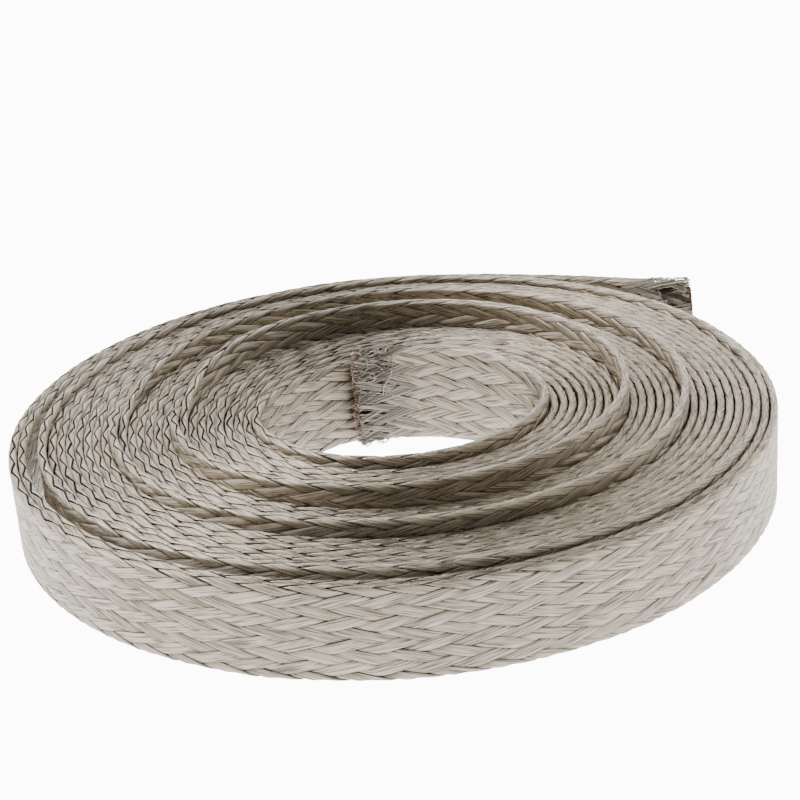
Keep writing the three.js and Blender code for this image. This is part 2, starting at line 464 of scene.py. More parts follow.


# %% [markdown]
# ## The weave
# A flat braid is a tube woven from 36 strands, half of them leaning one way and half the other,
# each going over two and under two. Where a strand is on top it shows as a slanted patch, and
# these patches lie in 18 rows round the strap, nine to a face. They tile the strap exactly.
#
# Modelling each strand from end to end would cost ten metres of curve 36 times over. Geometry
# Nodes does it in one go instead: it sets one small patch at each place of a flat lattice,
# realizes them, wraps the lattice round the strap's flattened outline, and then lays it along the
# strap's middle line. The patch's rim dips below the strand beside it, as the real strand does.
#
# There are two patch grids, a finer one for the rows where the strap folds, and the steps of each
# are crowded towards the patch's rim, where it bends most. At the folds the patches are a little
# narrower, so that dark slits show between them on the left of the roll. Towards the right the
# slits close, unevenly from patch to patch. Where a rim sinks below its neighbour, shade is painted
# into its colour, the more the deeper it lies, and at folds that have closed this painted shade
# mostly fades.

# %% Sizes of the weave
ROWS_ROUND = 18
STRAND_PITCH = 8.8 * MM
STRAND_SHIFT = 0.6
FOLD_ROWS = 0.9
FILLET_STEPS = 7
DIVE = 0.32 * MM
EDGE_DIP = 0.17 * MM
PAINTED_SHADE_RANGE = (0.5 * EDGE_DIP, 1.3 * EDGE_DIP)
SLIP_ALONG = 0.12 * MM
SLIP_ROUND = 0.05 * MM
SLIP_OUT = 0.03 * MM
FOLD_SPAN = (0.7, 1.0)
FOLD_DEEPENING = 2.2
PATCH_REACH = 1.08
PATCH_SWELL = 1.08
FOLD_REACH = 1.04
FOLD_SWELL = 0.95
FOLD_UNEVEN = 0.35
CLOSED_RANGE = (-0.35, 0.65)
PAINTED_SHADE_FADE = 0.8
PATCH_TAPER = 0.08
END_CROWDING = 0.4
END_SHARPNESS = 9.0
SIDE_CROWDING = 0.2
FOLD_CROWDING = 0.45
SIDE_SHARPNESS = 12.0
PATTERN_SHIFT = 57.0
PATTERN_SHIFT_ACROSS = 3.0
PATTERN_HALF_WIDTH = 1.15
SEED = 5


def input_number(tree, name, kind="NodeSocketFloat"):
    """Adds a named input to a tree."""
    return tree.interface.new_socket(name, in_out="INPUT", socket_type=kind)


def signed_power(tree, value, power):
    """Spreads evenly spaced steps: towards the ends for a power under one."""
    size = math_step(tree, "POWER", math_step(tree, "ABSOLUTE", value), power)
    return times(tree, size, math_step(tree, "SIGN", value))


def store(tree, geometry, name, value, kind="FLOAT", domain="POINT"):
    """Keeps a value on the geometry under a name."""
    options = {"data_type": kind, "domain": domain}
    return add(tree, "GeometryNodeStoreNamedAttribute", options,
               Geometry=geometry, Name=name, Value=value).outputs[0]


def read(tree, name, kind="FLOAT"):
    """Reads back a named value."""
    return add(tree, "GeometryNodeInputNamedAttribute", {"data_type": kind}, Name=name).outputs[0]


def sample_line(tree, given, along):
    """The strap's middle line at a distance along it, and the values that it carries there."""
    line = add(tree, "GeometryNodeMeshToCurve", None, Mesh=given["Geometry"]).outputs[0]
    options = {"mode": "LENGTH", "use_all_curves": True, "data_type": "FLOAT_VECTOR"}
    spot = add(tree, "GeometryNodeSampleCurve", options,
               Curves=line, Length=along, Value=read(tree, "shape", "FLOAT_VECTOR"))
    shape = next(s for s in spot.outputs if s.name == "Value" and s.enabled)
    return spot, add(tree, "ShaderNodeSeparateXYZ", None, Vector=shape).outputs


def weave_lattice(tree, given):
    """One point for the middle of each patch, on the strap laid out flat."""
    index = add(tree, "GeometryNodeInputIndex").outputs[0]
    row = math_step(tree, "MODULO", index, float(ROWS_ROUND))
    column = math_step(tree, "FLOOR", math_step(tree, "DIVIDE", index, float(ROWS_ROUND)))
    column = math_step(tree, "ADD", column, given["First strand"])
    odd = math_step(tree, "MODULO", row, 2.0)
    place = times_plus(tree, odd, 0.5, column)
    place = math_step(tree, "ADD", place, STRAND_SHIFT)
    along = times(tree, place, given["Strand pitch"])
    round_strap = times(tree, math_step(tree, "ADD", row, 0.5), given["Row width"])
    middle = add(tree, "ShaderNodeCombineXYZ", None, X=along, Y=round_strap).outputs[0]
    count = times(tree, given["Strands"], float(ROWS_ROUND))
    points = add(tree, "GeometryNodePoints", None, Count=count, Position=middle).outputs[0]
    tone = add(tree, "FunctionNodeRandomValue", {"data_type": "FLOAT"}, Seed=given["Seed"])
    slip = add(tree, "FunctionNodeRandomValue", {"data_type": "FLOAT_VECTOR"},
               in0=(-1, -1, -1), in1=(1, 1, 1), Seed=given["Seed"])
    half_round = math_step(tree, "MODULO", math_step(tree, "ADD", row, 0.5), ROWS_ROUND / 2)
    from_middle = math_step(tree, "SUBTRACT", half_round, ROWS_ROUND / 4)
    from_middle = math_step(tree, "ABSOLUTE", from_middle)
    at_fold = math_step(tree, "GREATER_THAN", from_middle, ROWS_ROUND / 4 - FOLD_ROWS)
    points = store(tree, points, "at_fold", at_fold)
    above = math_step(tree, "ABSOLUTE", math_step(tree, "SUBTRACT", row, (ROWS_ROUND - 1) / 2))
    above = math_step(tree, "GREATER_THAN", above, ROWS_ROUND / 4)
    fine = times(tree, at_fold, math_step(tree, "MAXIMUM", above, given["Fine foot"]))
    points = store(tree, points, "fine", fine)
    beside = sample_line(tree, given, along)[1][2]
    closed = smooth_range(tree, beside, CLOSED_RANGE, 0.0, 1.0)
    closed = times_plus(tree, tone.outputs["Value"], FOLD_UNEVEN, closed)
    points = store(tree, points, "closed", math_step(tree, "MINIMUM", closed, 1.0))
    points = store(tree, points, "lean", math_step(tree, "SUBTRACT", 1.0, odd))
    points = store(tree, points, "tone", tone.outputs["Value"])
    points = store(tree, points, "slip", slip.outputs["Value"], "FLOAT_VECTOR")
    return store(tree, points, "middle", middle, "FLOAT_VECTOR")


def patch_grid(tree, along, across):
    """The patch before it is shaped: a grid that keeps its own coordinates from -1 to 1."""
    grid = add(tree, "GeometryNodeMeshGrid", None, Size_X=2.0, Size_Y=2.0,
               Vertices_X=along, Vertices_Y=across).outputs[0]
    place = add(tree, "GeometryNodeInputPosition").outputs[0]
    return store(tree, grid, "own", place, "FLOAT_VECTOR")


def patches_on(tree, given, points):
    """Fine patches on the rows that bend round the folds, and patches as asked for elsewhere."""
    fold_patch = patch_grid(tree, given["Points along fold"], given["Points across fold"])
    face_patch = patch_grid(tree, given["Points along"], given["Points across"])
    fine = read(tree, "fine")
    coarse = math_step(tree, "SUBTRACT", 1.0, fine)
    on_fold = add(tree, "GeometryNodeInstanceOnPoints", None, Points=points, Selection=fine,
                  Instance=fold_patch).outputs[0]
    on_face = add(tree, "GeometryNodeInstanceOnPoints", None, Points=points, Selection=coarse,
                  Instance=face_patch).outputs[0]
    both = add(tree, "GeometryNodeJoinGeometry")
    for part in (on_fold, on_face):
        tree.links.new(part, both.inputs[0])
    return add(tree, "GeometryNodeRealizeInstances", None, Geometry=both.outputs[0]).outputs[0]


def flattened_outline(tree, given):
    """The strap's outline across its width: flat faces with folded edges."""
    box = add(tree, "GeometryNodeCurvePrimitiveQuadrilateral", None,
              Width=given["Strap width"], Height=given["Thickness"]).outputs[0]
    return add(tree, "GeometryNodeFilletCurve", {"mode": "POLY"}, Curve=box, Count=FILLET_STEPS,
               Radius=given["Fold radius"]).outputs[0]


def weave_tree():
    """The whole weave as a node group."""
    tree = bpy.data.node_groups.new("flat_braid_weave", "GeometryNodeTree")
    tree.interface.new_socket("Geometry", in_out="INPUT", socket_type="NodeSocketGeometry")
    for name in ("First strand", "Strands", "Points along", "Points across",
                 "Points along fold", "Points across fold", "Fine foot", "Seed"):
        input_number(tree, name, "NodeSocketInt")
    for name in ("Strand pitch", "Row width", "Strap width", "Thickness", "Fold radius",
                 "Dive", "Edge dip"):
        input_number(tree, name)
    input_number(tree, "Material", "NodeSocketMaterial")
    tree.interface.new_socket("Geometry", in_out="OUTPUT", socket_type="NodeSocketGeometry")
    given = {socket.name: socket for socket in tree.nodes.new("NodeGroupInput").outputs}

    points = weave_lattice(tree, given)
    mesh = patches_on(tree, given, points)

    own = add(tree, "ShaderNodeSeparateXYZ", None, Vector=read(tree, "own", "FLOAT_VECTOR"))
    middle = add(tree, "ShaderNodeSeparateXYZ", None, Vector=read(tree, "middle", "FLOAT_VECTOR"))
    slip = add(tree, "ShaderNodeSeparateXYZ", None, Vector=read(tree, "slip", "FLOAT_VECTOR"))
    sign = times_plus(tree, read(tree, "lean"), -2.0, 1.0)
    lengthwise = signed_power(tree, own.outputs[0], END_CROWDING)
    at_fold = read(tree, "at_fold")
    longest = times_plus(tree, at_fold, FOLD_REACH - PATCH_REACH, PATCH_REACH)
    open_fold = times(tree, at_fold, math_step(tree, "SUBTRACT", 1.0, read(tree, "closed")))
    widest = times_plus(tree, open_fold, FOLD_SWELL - PATCH_SWELL, PATCH_SWELL)
    reach = times(tree, lengthwise, longest)
    side_power = times_plus(tree, at_fold, FOLD_CROWDING - SIDE_CROWDING, SIDE_CROWDING)
    sideways = signed_power(tree, own.outputs[1], side_power)
    taper = times(tree, times(tree, reach, reach), -PATCH_TAPER)
    side = times(tree, sideways, math_step(tree, "ADD", taper, widest))

    half_pitch = times(tree, given["Strand pitch"], 0.5)
    half_row = times(tree, given["Row width"], 0.5)
    along = times(tree, reach, half_pitch)
    across = times(tree, times(tree, side, 0.5), half_pitch)
    x = times_plus(tree, across, sign, math_step(tree, "ADD", middle.outputs[0], along))
    climb = times(tree, times(tree, reach, half_row), sign)
    drop = times(tree, times(tree, side, -0.5), half_row)
    u = math_step(tree, "ADD", math_step(tree, "ADD", climb, drop), middle.outputs[1])
    x = times_plus(tree, slip.outputs[0], SLIP_ALONG, x)
    u = times_plus(tree, slip.outputs[1], SLIP_ROUND, u)

    outline = flattened_outline(tree, given)
    length = add(tree, "GeometryNodeCurveLength", None, Curve=outline).outputs[0]
    corner = times_plus(tree, given["Thickness"], -0.5, given["Fold radius"])
    u = math_step(tree, "ADD", u, corner)
    wrapped = math_step(tree, "MODULO", math_step(tree, "ADD", u, length), length)
    round_strap = add(tree, "GeometryNodeSampleCurve", {"mode": "LENGTH", "use_all_curves": True},
                      Curves=outline, Length=wrapped)
    spot = add(tree, "ShaderNodeSeparateXYZ", None, Vector=round_strap.outputs["Position"])
    heading = add(tree, "ShaderNodeSeparateXYZ", None, Vector=round_strap.outputs["Tangent"])

    inside_fold = math_step(tree, "DIVIDE", math_step(tree, "ABSOLUTE", spot.outputs[1]),
                            times(tree, given["Thickness"], 0.5))
    near_fold = smooth_range(tree, inside_fold, FOLD_SPAN, 1.0, 0.0)
    near_fold = times(tree, near_fold, math_step(tree, "SUBTRACT", 1.0, read(tree, "closed")))
    end_fall = math_step(tree, "POWER", math_step(tree, "ABSOLUTE", lengthwise), END_SHARPNESS)
    side_fall = math_step(tree, "POWER", math_step(tree, "ABSOLUTE", sideways), SIDE_SHARPNESS)
    deeper = times_plus(tree, near_fold, FOLD_DEEPENING, 1.0)
    end_dip = times(tree, end_fall, given["Dive"])
    side_dip = times(tree, side_fall, given["Edge dip"])
    depth = times_plus(tree, end_dip, deeper, side_dip)
    height = times_plus(tree, slip.outputs[2], SLIP_OUT, times(tree, depth, -1.0))
    # Painted shade: the deeper a point sinks below the surface, the darker its colour, faded where a
    # fold has closed.
    sunk = even_range(tree, depth, PAINTED_SHADE_RANGE, 0.0, 1.0)
    faded = times(tree, times(tree, at_fold, read(tree, "closed")), -PAINTED_SHADE_FADE)
    sunk = times(tree, sunk, math_step(tree, "ADD", faded, 1.0))

    on_line, (gape, wide, beside) = sample_line(tree, given, x)
    thin = smooth_range(tree, beside, THIN_RANGE, 1.0, THINNEST)
    ahead = on_line.outputs["Tangent"]
    outward = vector_step(tree, "CROSS_PRODUCT", (0, 0, 1), in1=ahead)
    outward = vector_step(tree, "NORMALIZE", outward)

    half_width = times(tree, given["Strap width"], 0.5)
    level = math_step(tree, "DIVIDE", spot.outputs[0], half_width)
    bow = math_step(tree, "SUBTRACT", 1.0, times(tree, level, level))
    opened = times(tree, bow, gape)
    face = math_step(tree, "DIVIDE", spot.outputs[1], times(tree, given["Thickness"], 0.5))
    out = times_plus(tree, opened, face, spot.outputs[1])
    out = math_step(tree, "SUBTRACT", out, times(tree, heading.outputs[0], height))
    out = times(tree, out, thin)
    up = times_plus(tree, heading.outputs[1], height, spot.outputs[0])
    up = times(tree, math_step(tree, "ADD", up, half_width), wide)
    rise = add(tree, "ShaderNodeCombineXYZ", None, Z=up).outputs[0]
    shift = vector_step(tree, "SCALE", outward, Scale=out)
    place = vector_step(tree, "ADD", shift, in1=rise)
    place = vector_step(tree, "ADD", place, in1=on_line.outputs["Position"])

    tone_shift = times(tree, read(tree, "tone"), PATTERN_SHIFT)
    map_u = times_plus(tree, along, 1 / MM, tone_shift)
    tone_across = times(tree, tone_shift, PATTERN_SHIFT_ACROSS)
    map_v = times_plus(tree, side, PATTERN_HALF_WIDTH, tone_across)
    uv = add(tree, "ShaderNodeCombineXYZ", None, X=map_u, Y=map_v).outputs[0]
    mesh = store(tree, mesh, "sunk", sunk)
    mesh = store(tree, mesh, "UVMap", uv, "FLOAT2", "CORNER")
    mesh = add(tree, "GeometryNodeSetPosition", None, Geometry=mesh,
               Position=place).outputs[0]
    mesh = add(tree, "GeometryNodeSetShadeSmooth", None, Geometry=mesh).outputs[0]
    for spare in ("own", "middle", "slip", "at_fold", "fine", "closed"):
        mesh = add(tree, "GeometryNodeRemoveAttribute", None, Geometry=mesh, Name=spare).outputs[0]
    mesh = add(tree, "GeometryNodeSetMaterial", None, Geometry=mesh,
               Material=given["Material"]).outputs[0]
    add(tree, "NodeGroupOutput", None, Geometry=mesh)
    return tree


weave = weave_tree()
print("weave tree has", len(weave.nodes), "nodes")


# %% [markdown]
# ## Weaving the turns
# The tree reads the middle line from the object that carries it: a bare row of points joined by
# edges. One stretch of the roll is one piece, so that no piece grows too large. Turns that show a
# whole face get a finer patch than turns that show only their upper edge. The upper fold is fine
# everywhere, and the lower one on the innermost and the outermost turn, where it shows.

# %% Weave each stretch of the roll
def line_mesh(name):
    """The middle line as points and edges. It carries the gape, the width and the side of the roll."""
    mesh = bpy.data.meshes.new(name)
    spots = np.concatenate([line_plan, line_lift[:, None]], axis=1)
    edges = [(i, i + 1) for i in range(len(spots) - 1)]
    mesh.from_pydata(spots.tolist(), edges, [])
    shape = np.column_stack([line_gape, line_shape[:, 0], line_shape[:, 2]])
    mesh.attributes.new("shape", "FLOAT_VECTOR", "POINT").data.foreach_set("vector", shape.ravel())
    return mesh


def row_width():
    """The outline's length shared out between the rows."""
    straight = 2 * (STRAP_WIDTH + STRAP_THICKNESS) - 8 * FOLD_RADIUS
    return (straight + 2 * math.pi * FOLD_RADIUS) / ROWS_ROUND


def woven_piece(name, first_turn, last_turn, points_along, points_across, fine_foot):
    """One stretch of the strap, woven."""
    rolled_along = line_along[:len(line_turns)]
    start = np.interp(first_turn, line_turns, rolled_along)
    end = strap_length if last_turn is None else np.interp(last_turn, line_turns, rolled_along)
    first = math.ceil(max(start, FRAY_START) / STRAND_PITCH)
    last = math.ceil(end / STRAND_PITCH) if last_turn else math.floor((end - MOUTH_BARE) / STRAND_PITCH)
    piece = bpy.data.objects.new(name, line_mesh(name + "_line"))
    bpy.context.scene.collection.objects.link(piece)
    modifier = piece.modifiers.new("weave", "NODES")
    modifier.node_group = weave
    values = {
        "First strand": first, "Strands": last - first, "Seed": SEED + first,
        "Points along": points_along, "Points across": points_across,
        "Points along fold": FOLD_PATCH[0], "Points across fold": FOLD_PATCH[1],
        "Fine foot": fine_foot,
        "Strand pitch": STRAND_PITCH, "Row width": row_width(),
        "Strap width": STRAP_WIDTH, "Thickness": STRAP_THICKNESS, "Fold radius": FOLD_RADIUS,
        "Dive": DIVE, "Edge dip": EDGE_DIP, "Material": braid_material,
    }
    for socket in weave.interface.items_tree:
        if socket.in_out == "INPUT" and socket.name in values:
            modifier[socket.identifier] = values[socket.name]
    evaluated = piece.evaluated_get(bpy.context.evaluated_depsgraph_get())
    mesh = bpy.data.meshes.new_from_object(evaluated)
    piece.modifiers.remove(modifier)
    piece.data = mesh
    mesh.name = name
    triangles = sum(len(face.vertices) - 2 for face in mesh.polygons)
    print(name, "strands", last - first, "triangles", triangles)
    return piece


FRAY_START = 1 * MM
MOUTH_BARE = 16 * MM
FOLD_PATCH = (9, 7)
# Each stretch: its name, first and last turn, points along and across a patch, and fine foot
STRETCHES = (
    ("innermost_turn", 0, 1.05, 8, 5, 1),
    ("inner_turns", 1.05, 8.8, 5, 3, 0),
    ("raised_inner_turn", 8.8, 9.8, 8, 5, 0),
    ("middle_turns", 9.8, 15.8, 5, 3, 0),
    ("raised_middle_turn", 15.8, 16.8, 8, 5, 0),
    ("outer_turns", 16.8, 24.2, 5, 3, 0),
    ("slack_turns", 24.2, 25.9, 8, 5, 0),
    ("outermost_turn", 25.9, None, 8, 5, 1),
)
woven = [woven_piece(*stretch) for stretch in STRETCHES]


# %% [markdown]
# ## The strands underneath
# Between the patches the eye falls on the strands that pass below. They are never seen whole, so
# one closed ribbon stands for them, coloured near black to dark grey as painted shade. It runs just
# under the patches, and at the free end it opens into the braid's hollow.

# %% Ribbon under the weave
RIBBON_SINK = 0.24 * MM
RIBBON_STEP = 2
FOLD_POINTS = 5
FOLD_HOLLOW = 0.3 * MM
FRAY_SETBACK = 1.5 * MM
RIBBON_BACK = 14.5 * MM
MOUTH_WALL = 0.55 * MM
POCKET_DEPTH = 8 * MM
POCKET_STEPS = 7
POCKET_ROOM = 0.9


def ribbon_ring(place, out, lift, shape, gape, sink):
    """One closed ring of points round the strap, set below its surface."""
    wide, thin = shape
    half = STRAP_THICKNESS / 2 - sink
    straight = STRAP_WIDTH / 2 - STRAP_THICKNESS / 2 - FOLD_HOLLOW
    ring = []
    for end in (1, -1):
        for step in range(FOLD_POINTS):
            angle = math.pi * step / (FOLD_POINTS - 1)
            side = half * math.cos(angle) * end * thin
            height = end * (straight + half * math.sin(angle))
            level = height / (STRAP_WIDTH / 2)
            side += gape * (1 - level * level) * (side / half)
            ring.append((*(place + out * side), lift + (height + STRAP_WIDTH / 2) * wide))
    return ring


def closed_tube(rings):
    """Faces of a tube through equal rings, closed at both ends."""
    count = len(rings[0])
    faces = []
    for row in range(len(rings) - 1):
        for k in range(count):
            after = (k + 1) % count
            low = row * count
            faces.append((low + k, low + count + k, low + count + after, low + after))
    faces.append(tuple(range(count)))
    faces.append(tuple(reversed(range((len(rings) - 1) * count, len(rings) * count))))
    return [point for ring in rings for point in ring], faces


def plain_piece(name, points, faces, material, attributes=None):
    """A mesh object from points and faces, with values kept on its points."""
    mesh = bpy.data.meshes.new(name)
    mesh.from_pydata([tuple(point) for point in points], [], faces)
    mesh.materials.append(material)
    for key, values in (attributes or {}).items():
        mesh.attributes.new(key, "FLOAT", "POINT").data.foreach_set("value", values)
    mesh.shade_smooth()
    mesh.validate()
    piece = bpy.data.objects.new(name, mesh)
    bpy.context.scene.collection.objects.link(piece)
    return piece


def at(along):
    """The middle line at a distance along: place, outward direction, lift, and wide and thin."""
    place = np.stack([np.interp(along, line_along, line_plan[:, k]) for k in (0, 1)], -1)
    out = np.stack([np.interp(along, line_along, line_out[:, k]) for k in (0, 1)], -1)
    wide, thin = (np.interp(along, line_along, line_shape[:, k]) for k in (0, 1))
    return place, out, np.interp(along, line_along, line_lift), (wide, thin)


def make_ribbon():
    """The shaded ribbon, from the inner end to the mouth and back into its pocket."""
    rings = []
    first = np.searchsorted(line_along, FRAY_SETBACK)
    mouth_end = strap_length - RIBBON_BACK
    last = np.searchsorted(line_along, mouth_end)
    for i in range(first, last, RIBBON_STEP):
        here = (line_plan[i], line_out[i], line_lift[i], line_shape[i, :2], line_gape[i])
        rings.append(ribbon_ring(*here, RIBBON_SINK))
    room = (STRAP_THICKNESS / 2 - RIBBON_SINK) * POCKET_ROOM
    for depth in np.linspace(0, POCKET_DEPTH, POCKET_STEPS):
        along = mouth_end - depth
        gape = float(np.interp(along, line_along, line_gape))
        sink = RIBBON_SINK + min(MOUTH_WALL, room)
        rings.append(ribbon_ring(*at(along), gape, sink))
    points, faces = closed_tube(rings)
    return plain_piece("strands_underneath", points, faces, painted_shade_material)


ribbon = make_ribbon()
print("ribbon faces", len(ribbon.data.polygons))


# %% [markdown]
# ## The cut ends
# Where the strap is cut, nothing holds the weave, and the strands spread into single wires whose
# tips show bare copper. At the inner end they stand out towards the core. At the outer end the
# braid gapes like a mouth, and its near wall has come back from the far one. Each wire is a thin
# tube that starts under the last patches and follows its strand's lean. Wires drawn at their full
# number would be lost at this size, so a strand has sixteen slightly thicker ones.

# %% A wire as a tube
WIRE_RADIUS = 0.11 * MM
WIRE_SIDES = 5
TIP_LENGTH = 0.15 * MM
REFERENCE = np.array([0.36, 0.48, 0.8])


def wire_rings(path, radius):
    """Rings of points round a path, with a short last stretch for the cut tip."""
    last = path[-1] - path[-2]
    tip = path[-1] + last / np.linalg.norm(last) * TIP_LENGTH
    path = np.concatenate([path, tip[None]])
    ahead = np.gradient(path, axis=0)
    ahead /= np.linalg.norm(ahead, axis=1)[:, None]
    side = np.cross(ahead, REFERENCE)
    side /= np.linalg.norm(side, axis=1)[:, None]
    up = np.cross(side, ahead)
    angles = 2 * np.pi * np.arange(WIRE_SIDES) / WIRE_SIDES
    return [[place + radius * (s * math.cos(a) + u * math.sin(a)) for a in angles]
            for place, s, u in zip(path, side, up)]


def wires_piece(name, paths):
    """One mesh of many wires. Each has its own tone, and its last ring is copper."""
    points, faces, tips, tones = [], [], [], []
    for path in paths:
        wire_points, wire_faces = closed_tube(wire_rings(path, WIRE_RADIUS))
        base = len(points)
        points += wire_points
        faces += [tuple(base + k for k in face) for face in wire_faces]
        tips += [0.0] * (len(wire_points) - WIRE_SIDES) + [1.0] * WIRE_SIDES
        tones += [rng.uniform(0, 1)] * len(wire_points)
    piece = plain_piece(name, points, faces, wire_material, {"tip": tips, "tone": tones})
    print(name, "wires", len(paths), "faces", len(faces))
    return piece


# %% [markdown]
# A place on the strap is given by its distance along and its way round: up the inner face from
# the foot, and down the outer face. A strand that passes the edge goes on across the other face,
# as it does in the real tube. Its wires carry on exactly where its last patch ends, and go over
# and under the strands they cross, only more loosely.

# %% Wires of the strands
WIRES_IN_STRAND = 16
ROOT_LENGTH = 22 * MM
WIRE_STEPS = 10
FOOT = 0.15 * MM
MIDDLE_SINK = 0.3 * MM
WEAVE_SWING = 0.2 * MM
SINK_SPREAD = 0.1 * MM
ROOT_SINK = 0.25 * MM
ROOT_SPAN = (0.1, 0.35)
BUNCHING = (0.15, 0.5)
BUNCHING_SPAN = (0.3, 0.9)
STRAND_SWING = 0.35 * MM
WIRE_STRAY = 0.25 * MM
STRAND_RAGGED = 1.0 * MM
WIRE_RAGGED = 0.4 * MM
STOP_ROUNDS = 4
ROWS_PER_FACE = ROWS_ROUND / 2


def on_strap(along, around, sink, out_more, up_more):
    """Places below the strap's surface, moved outwards and up by so much."""
    around = np.mod(around, 2 * STRAP_WIDTH)
    inner = around < STRAP_WIDTH
    height = np.where(inner, around, 2 * STRAP_WIDTH - around)
    face = np.where(inner, -1.0, 1.0)
    edge = np.clip(np.minimum(height, STRAP_WIDTH - height) / (STRAP_THICKNESS / 2), 0, 1)
    half = STRAP_THICKNESS / 2 * np.sqrt(1 - (1 - edge) ** 2)
    level = 2 * height / STRAP_WIDTH - 1
    gape = np.interp(along, line_along, line_gape) * (1 - level ** 2)
    place, out, lift, (wide, thin) = at(along)
    offset = face * thin * np.maximum(half + gape - sink, 0) + out_more
    plan = place + out * offset[:, None]
    return np.column_stack([plan, np.maximum(lift + height * wide + up_more, FOOT)])


def strand_wire(along_of, sign, strand, across, habit, stop_of, push):
    """One wire: out from under the strand's last patch, over and under, to its cut tip."""
    shift = -STRAND_SHIFT if sign > 0 else 0.5 + STRAND_SHIFT
    swing, bunch, short = habit

    def rows_at(along):
        return strand + shift + sign * along / STRAND_PITCH - ROWS_PER_FACE

    stop = 0.0
    for _ in range(STOP_ROUNDS):
        tip_around = np.mod(rows_at(along_of(stop)) / ROWS_PER_FACE, 2) * STRAP_WIDTH
        inner = tip_around < STRAP_WIDTH
        stop = stop_of(inner, tip_around)
    stop += short + abs(rng.normal(0, WIRE_RAGGED))
    freedom = np.linspace(0, 1, WIRE_STEPS)
    along = along_of(ROOT_LENGTH + (stop - ROOT_LENGTH) * freedom)
    rows = rows_at(along)
    over = -sign * np.sin(math.pi * (rows + ROWS_PER_FACE))
    sink = MIDDLE_SINK - WEAVE_SWING * over + rng.uniform(-1, 1) * SINK_SPREAD
    sink = sink + ROOT_SINK * (1 - smooth(freedom, *ROOT_SPAN))
    gather = 1 - bunch * smooth(freedom, *BUNCHING_SPAN)
    stray = (swing + rng.normal(0, WIRE_STRAY)) * freedom ** 3
    around = (rows + across * gather) / ROWS_PER_FACE * STRAP_WIDTH + stray
    out_more, up_more = push(inner, tip_around, freedom)
    return on_strap(along, around, sink, out_more, up_more)


def strand_wires(along_of, stop_of, push):
    """The wires of every strand at one end."""
    paths = []
    for sign in (1, -1):
        for strand in range(ROWS_ROUND):
            swing = rng.normal(0, STRAND_SWING)
            habit = (swing, rng.uniform(*BUNCHING), rng.uniform(0, STRAND_RAGGED))
            for wire in range(WIRES_IN_STRAND):
                across = (wire + 0.5) / WIRES_IN_STRAND - 0.5
                paths.append(strand_wire(along_of, sign, strand, across, habit, stop_of, push))
    return paths


# %% [markdown]
# The inner end's wires are pushed towards the core, and those at the top stand up a little. Some
# have sprung loose altogether: they are short curls, and one long wire hangs down the face.

# %% The frayed inner end
FRAY_BULGE = 1.2 * MM
FRAY_RISE = 0.8 * MM
OUTER_FACE_SHARE = 0.3
INNER_STOP = 0.2 * MM
CURL_STEPS = 20
CURL_WINDINGS = (0.35, 0.8)
CURL_STAND_OFF = (0.3 * MM, 1.2 * MM)
# The curls above and below: how many, and the spans in mm of their place, height and size
CURLS = (
    (40, (1, 9), (17, 24), (0.8, 2.6)),
    (7, (2, 8), (0.2, 1.0), (1, 2)),
)
HANGING_STEPS = 26


def inner_along(distance):
    return distance


def inner_stop(inner, around):
    """Every wire of the inner end is cut at about the same place."""
    return INNER_STOP


def inner_push(inner, around, freedom):
    """Wires of the inner face stand out towards the core, the others hardly."""
    reach = FRAY_BULGE if inner else OUTER_FACE_SHARE * FRAY_BULGE
    height = min(around, 2 * STRAP_WIDTH - around) / STRAP_WIDTH
    rise = FRAY_RISE * rng.uniform(0, 1) * height ** 4
    return -reach * rng.uniform(0.1, 1) * freedom ** 2.5, rise * freedom ** 2


def before_face(along, level, stand_off):
    """Places in front of the strap's inner face."""
    plan, out, lift, _ = at(np.maximum(along, 0))
    plan = plan - out * (STRAP_THICKNESS / 2 + stand_off)[:, None]
    return np.column_stack([plan, np.maximum(lift + level, FOOT)])


def curl(along, height, size):
    """A short springy wire near the inner end."""
    share = np.linspace(0, 1, CURL_STEPS)
    windings = rng.uniform(*CURL_WINDINGS)
    angle = rng.uniform(0, 2 * math.pi) + windings * 2 * math.pi * share
    grown = size * (0.6 + 0.5 * share)
    stand_off = rng.uniform(*CURL_STAND_OFF) * (0.2 + np.sin(math.pi * share))
    level = height + 0.6 * grown * np.sin(angle)
    return before_face(along + grown * np.cos(angle), level, stand_off)


def hanging_wire():
    """The long light wire that has sprung loose and curls down across the face."""
    share = np.linspace(0, 1, HANGING_STEPS)
    along = (9.5 + 1.1 * np.sin(5.0 * share) - 1.0 * share) * MM
    level = (24.5 - 12.5 * share + 0.5 * np.sin(9 * share)) * MM
    return before_face(along, level, (0.5 + 1.2 * np.sin(math.pi * share)) * MM)


frayed = strand_wires(inner_along, inner_stop, inner_push)
for count, *spans in CURLS:
    for _ in range(count):
        frayed.append(curl(*(rng.uniform(*span) * MM for span in spans)))
frayed.append(hanging_wire())
inner_wires = wires_piece("frayed_inner_end", frayed)


# %% [markdown]
# At the outer end the far wall still reaches the cut, while the near wall ends before it, so one
# looks into the braid. The far wall is wires on both sides of a thin sheet, coloured with painted
# shade for the braid's dark inside, which leaves its ragged top edge free.

# %% The mouth of the outer end
NEAR_WALL_BACK = 5.6 * MM
NEAR_WALL_KNEE = 14.8 * MM
NEAR_WALL_SLANT = 2.0
TOP_RISE = 1.7 * MM
RISE_SPAN = (0.2, 0.7)
FAR_WALL_STOP = 0.1 * MM
MOUTH_SPREAD = 0.25 * MM
STRAY_STEPS = 12
SHADE_SHEET_START = 0.4 * MM
SHADE_SHEET_ROWS = 8
SHADE_SHEET_COLUMNS = 9
SHADE_SHEET_FOOT = 0.8 * MM
SHADE_SHEET_TOP = 18.2 * MM
SHADE_SHEET_LENGTH = 15.5 * MM
SHADE_SHEET_THICKNESS = 0.15 * MM


def outer_along(distance):
    return strap_length - distance


